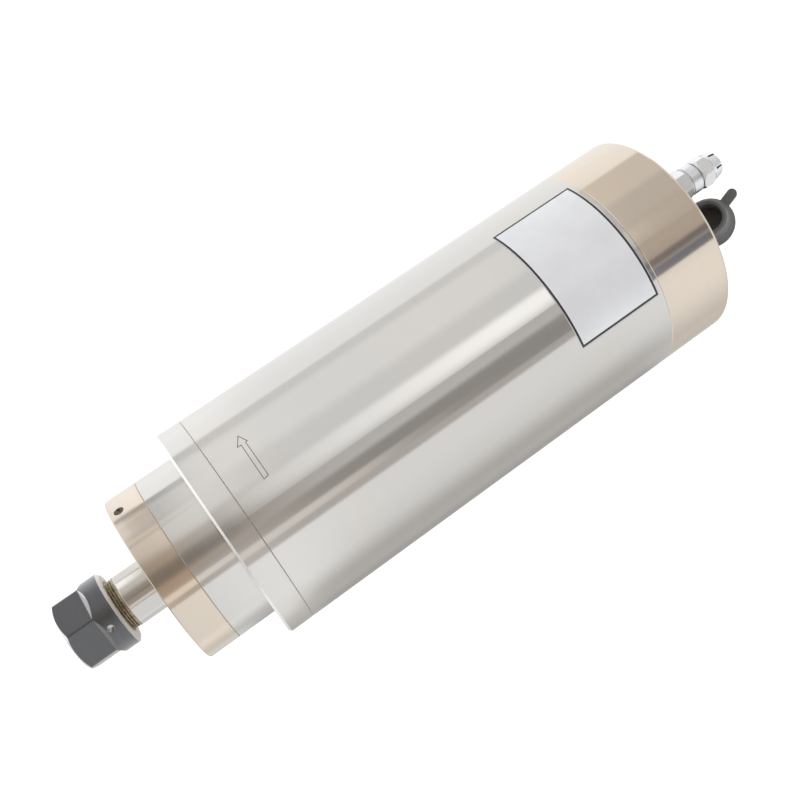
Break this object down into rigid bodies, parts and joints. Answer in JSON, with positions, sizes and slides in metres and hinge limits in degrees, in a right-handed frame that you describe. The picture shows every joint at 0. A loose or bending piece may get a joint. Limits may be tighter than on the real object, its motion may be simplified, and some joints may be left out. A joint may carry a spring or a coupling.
{
  "type": "motor spindle",
  "caption": "Water-cooled cylindrical motor spindle with collet nose, stepped front, two hose fittings, round power connector and rubber dust cap.",
  "frame": {"origin": "on the spindle axis, in the plane of the front shoulder", "axes": "-X along the axis out of the nose, +X to the rear cap, +Z towards the label side"},
  "size_m": [0.3524, 0.1, 0.1001],
  "materials": {
    "satin_steel": "fine turned satin",
    "warm_nickel": "bright turned, warm nickel tone",
    "ground_steel": "cylindrically ground",
    "nut_steel": "dark satin oxide",
    "tool_steel": "ground",
    "bearing_steel": "polished",
    "cage_resin": "matte",
    "jacket_alloy": "as machined",
    "lamination": "stacked sheet",
    "copper_wire": "enamelled",
    "cast_alloy": "cast",
    "balance_brass": "turned",
    "seal_rubber": "matte",
    "cap_rubber": "matte moulded",
    "screw_steel": "black oxide",
    "spring_steel": "bright",
    "foil": "matte silver foil, blank",
    "bright_nickel": "bright nickel plate",
    "washer_nylon": "matte",
    "insert_plastic": "matte",
    "pin_brass": "gold flash",
    "wire_cover": "smooth"
  },
  "bodies": {
    "housing": {"front_cover_ring": "warm_nickel", "cover_set_screw": "screw_steel", "cover_screws": "screw_steel", "cover_seal": "seal_rubber", "front_housing": "satin_steel", "housing_screws": "screw_steel", "front_outer_rings": "bearing_steel", "front_outer_spacer": "ground_steel", "outer_sleeve": "satin_steel", "cooling_jacket": "jacket_alloy", "sleeve_o_rings": "seal_rubber", "stator_core": "lamination", "stator_winding": "copper_wire", "rear_bracket": "cast_alloy", "preload_spring": "spring_steel", "rear_outer_rings": "bearing_steel", "rear_outer_spacer": "ground_steel", "rear_cap": "warm_nickel", "rear_cap_screws": "screw_steel", "water_o_rings": "seal_rubber", "label_foil": "foil", "fitting_body_in": "bright_nickel", "fitting_body_out": "bright_nickel", "fitting_washers": "washer_nylon", "connector_shell": "bright_nickel", "connector_insert": "insert_plastic", "connector_pins": "pin_brass", "connector_screws": "ground_steel", "lead_wires": "wire_cover", "dust_cap_strap": "cap_rubber"},
    "rotor": {"spindle_shaft": "ground_steel", "rotor_core": "lamination", "rotor_cage": "cast_alloy", "balance_rings": "balance_brass", "labyrinth_ring": "ground_steel", "front_inner_rings": "bearing_steel", "front_inner_spacer": "ground_steel", "rear_inner_rings": "bearing_steel", "rear_inner_spacer": "ground_steel", "rear_lock_nut": "screw_steel"},
    "front_ball_sets": {"front_balls": "bearing_steel", "front_cages": "cage_resin"},
    "rear_ball_sets": {"rear_balls": "bearing_steel", "rear_cages": "cage_resin"},
    "collet": {"collet": "tool_steel"},
    "collet_nut": {"collet_nut": "nut_steel"},
    "hose_ring_in": {"hose_ring_in": "balance_brass"},
    "hose_nut_in": {"hose_nut_in": "bright_nickel"},
    "hose_ring_out": {"hose_ring_out": "balance_brass"},
    "hose_nut_out": {"hose_nut_out": "bright_nickel"},
    "dust_cap": {"dust_cap": "cap_rubber"}
  },
  "joints": [
    {"name": "spindle_spin", "type": "hinge", "parent": "housing", "child": "rotor", "pos_m": [0, 0, 0], "axis": [1, 0, 0], "continuous": true},
    {"name": "front_cage_spin", "type": "hinge", "parent": "housing", "child": "front_ball_sets", "pos_m": [0, 0, 0], "axis": [1, 0, 0], "continuous": true},
    {"name": "rear_cage_spin", "type": "hinge", "parent": "housing", "child": "rear_ball_sets", "pos_m": [0.194, 0, 0], "axis": [1, 0, 0], "continuous": true},
    {"name": "collet_draw", "type": "slide", "parent": "rotor", "child": "collet", "axis": [-1, 0, 0], "range_m": [0, 0.004]},
    {"name": "nut_turn", "type": "hinge", "parent": "collet", "child": "collet_nut", "pos_m": [-0.06, 0, 0], "axis": [-1, 0, 0], "range_deg": [0, 1444]},
    {"name": "hose_ring_in_slide", "type": "slide", "parent": "housing", "child": "hose_ring_in", "axis": [1, 0, 0], "range_m": [0, 0.003]},
    {"name": "hose_nut_in_turn", "type": "hinge", "parent": "hose_ring_in", "child": "hose_nut_in", "pos_m": [0.26, 0.0111, 0.031], "axis": [1, 0, 0], "range_deg": [0, 1083]},
    {"name": "hose_ring_out_slide", "type": "slide", "parent": "housing", "child": "hose_ring_out", "axis": [1, 0, 0], "range_m": [0, 0.003]},
    {"name": "hose_nut_out_turn", "type": "hinge", "parent": "hose_ring_out", "child": "hose_nut_out", "pos_m": [0.26, 0.027, -0.0189], "axis": [1, 0, 0], "range_deg": [0, 1083]},
    {"name": "dust_cap_swing", "type": "hinge", "parent": "housing", "child": "dust_cap", "pos_m": [0.25127, -0.01417, 0.00716], "axis": [0.1923, -0.9118, 0.3629], "range_deg": [-12, 20], "stiffness_Nm_per_rad": 0.02}
  ],
  "couplings": [
    {"joint": "front_cage_spin", "follows": "spindle_spin", "ratio": 0.4148},
    {"joint": "rear_cage_spin", "follows": "spindle_spin", "ratio": 0.4116},
    {"joint": "nut_turn", "follows": "collet_draw", "rad_per_m": 6283.2},
    {"joint": "hose_nut_in_turn", "follows": "hose_ring_in_slide", "rad_per_m": 6283.2},
    {"joint": "hose_nut_out_turn", "follows": "hose_ring_out_slide", "rad_per_m": 6283.2}
  ]
}
